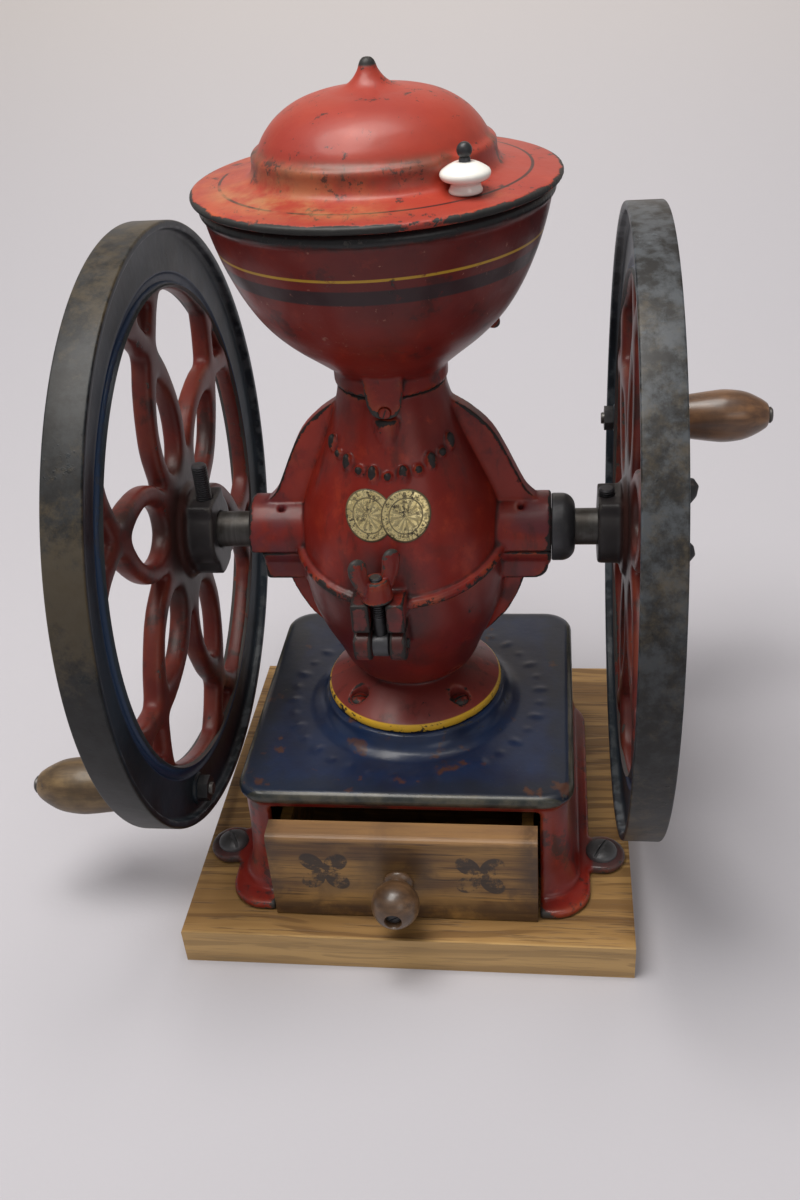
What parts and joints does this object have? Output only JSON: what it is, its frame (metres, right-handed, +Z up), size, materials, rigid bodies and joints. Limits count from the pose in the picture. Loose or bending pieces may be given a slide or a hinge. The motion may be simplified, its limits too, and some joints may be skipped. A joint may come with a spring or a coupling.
{
  "type": "coffee grinder mill",
  "caption": "Hand coffee mill with a lidded hopper over a bulb-shaped casing, spoked flywheels with handles on a through shaft, and a wooden drawer in an iron base on a square board.",
  "frame": {"origin": "centre of the board's underside, at table level", "axes": "+X to the mill's right seen from the front, along the axle; +Y to the back, away from the drawer front; +Z up"},
  "size_m": [0.4208, 0.318, 0.4318],
  "materials": {
    "oak": "satin varnish over golden oak grain",
    "base_paint": "worn navy enamel on the plate, worn red on the walls",
    "red_paint": "worn vermilion enamel with dark chips",
    "hopper_paint": "worn vermilion enamel with a yellow line and a black band",
    "lid_paint": "worn vermilion enamel, faded to orange, black worn edge",
    "wheel_paint": "dark blue-black enamel rim, red spokes, worn",
    "wing_paint": "red enamel worn to dark metal at the wings",
    "dark_iron": "dark oxidised iron",
    "steel": "dull turned steel",
    "burr_iron": "chilled iron, ground faces",
    "porcelain": "white glaze",
    "grip_wood": "old varnish, rubbed",
    "drawer_wood": "aged wood with stains and worn edges",
    "knob_wood": "dark turned wood"
  },
  "bodies": {
    "mill": {"display_board": "oak", "base_casting": "base_paint", "base_screws": "dark_iron", "lower_casing": "red_paint", "pedestal_screws": "dark_iron", "upper_casing": "red_paint", "hinge_pin": "dark_iron", "hopper": "hopper_paint", "hopper_screw": "dark_iron", "lid_pivot_screw": "dark_iron", "thrust_cap": "dark_iron", "fixed_burr": "burr_iron", "burr_screws": "dark_iron", "latch_pin": "dark_iron"},
    "lid": {"lid": "lid_paint", "lid_knob": "porcelain", "lid_knob_screw": "dark_iron"},
    "shaft": {"main_shaft": "steel", "feed_worm": "burr_iron", "left_wheel": "wheel_paint", "right_wheel": "wheel_paint", "wheel_set_screws": "dark_iron", "handle_spindles": "steel", "handle_nuts": "dark_iron"},
    "burr_carrier": {"moving_burr": "burr_iron", "burr_key": "steel", "push_rod": "steel"},
    "adjuster": {"adjusting_screw": "dark_iron"},
    "left_grip": {"left_grip": "grip_wood"},
    "right_grip": {"right_grip": "grip_wood"},
    "swing_bolt": {"swing_bolt": "dark_iron"},
    "wing_nut": {"wing_nut": "wing_paint"},
    "drawer": {"drawer_front": "drawer_wood", "drawer_left_side": "drawer_wood", "drawer_right_side": "drawer_wood", "drawer_back": "drawer_wood", "drawer_bottom": "drawer_wood", "drawer_knob": "knob_wood", "drawer_knob_screw": "dark_iron"}
  },
  "joints": [
    {"name": "shaft_spin", "type": "hinge", "parent": "mill", "child": "shaft", "pos_m": [0, 0, 0.203], "axis": [1, 0, 0], "continuous": true},
    {"name": "left_grip_spin", "type": "hinge", "parent": "shaft", "child": "left_grip", "pos_m": [-0.17, -0.06492, 0.07559], "axis": [1, 0, 0], "continuous": true},
    {"name": "right_grip_spin", "type": "hinge", "parent": "shaft", "child": "right_grip", "pos_m": [0.17, 0.14291, 0.19801], "axis": [1, 0, 0], "continuous": true},
    {"name": "burr_feed", "type": "slide", "parent": "shaft", "child": "burr_carrier", "axis": [-1, 0, 0], "range_m": [0, 0.0012]},
    {"name": "adjuster_turn", "type": "hinge", "parent": "burr_carrier", "child": "adjuster", "pos_m": [0.135, 0, 0.203], "axis": [-1, 0, 0], "range_deg": [0, 360]},
    {"name": "lid_swivel", "type": "hinge", "parent": "mill", "child": "lid", "pos_m": [-0.0413, 0.05898, 0.384], "axis": [0, 0, 1], "range_deg": [-110, 110]},
    {"name": "latch_swing", "type": "hinge", "parent": "mill", "child": "swing_bolt", "pos_m": [-0.006, -0.065, 0.1745], "axis": [1, 0, 0], "range_deg": [0, 140]},
    {"name": "wing_nut_spin", "type": "hinge", "parent": "swing_bolt", "child": "wing_nut", "pos_m": [-0.006, -0.065, 0.205], "axis": [0, 0, 1], "continuous": true},
    {"name": "drawer_slide", "type": "slide", "parent": "mill", "child": "drawer", "axis": [0, -1, 0], "range_m": [-0.015, 0.1]}
  ],
  "couplings": [
    {"joint": "adjuster_turn", "follows": "burr_feed", "rad_per_m": 5236}
  ]
}
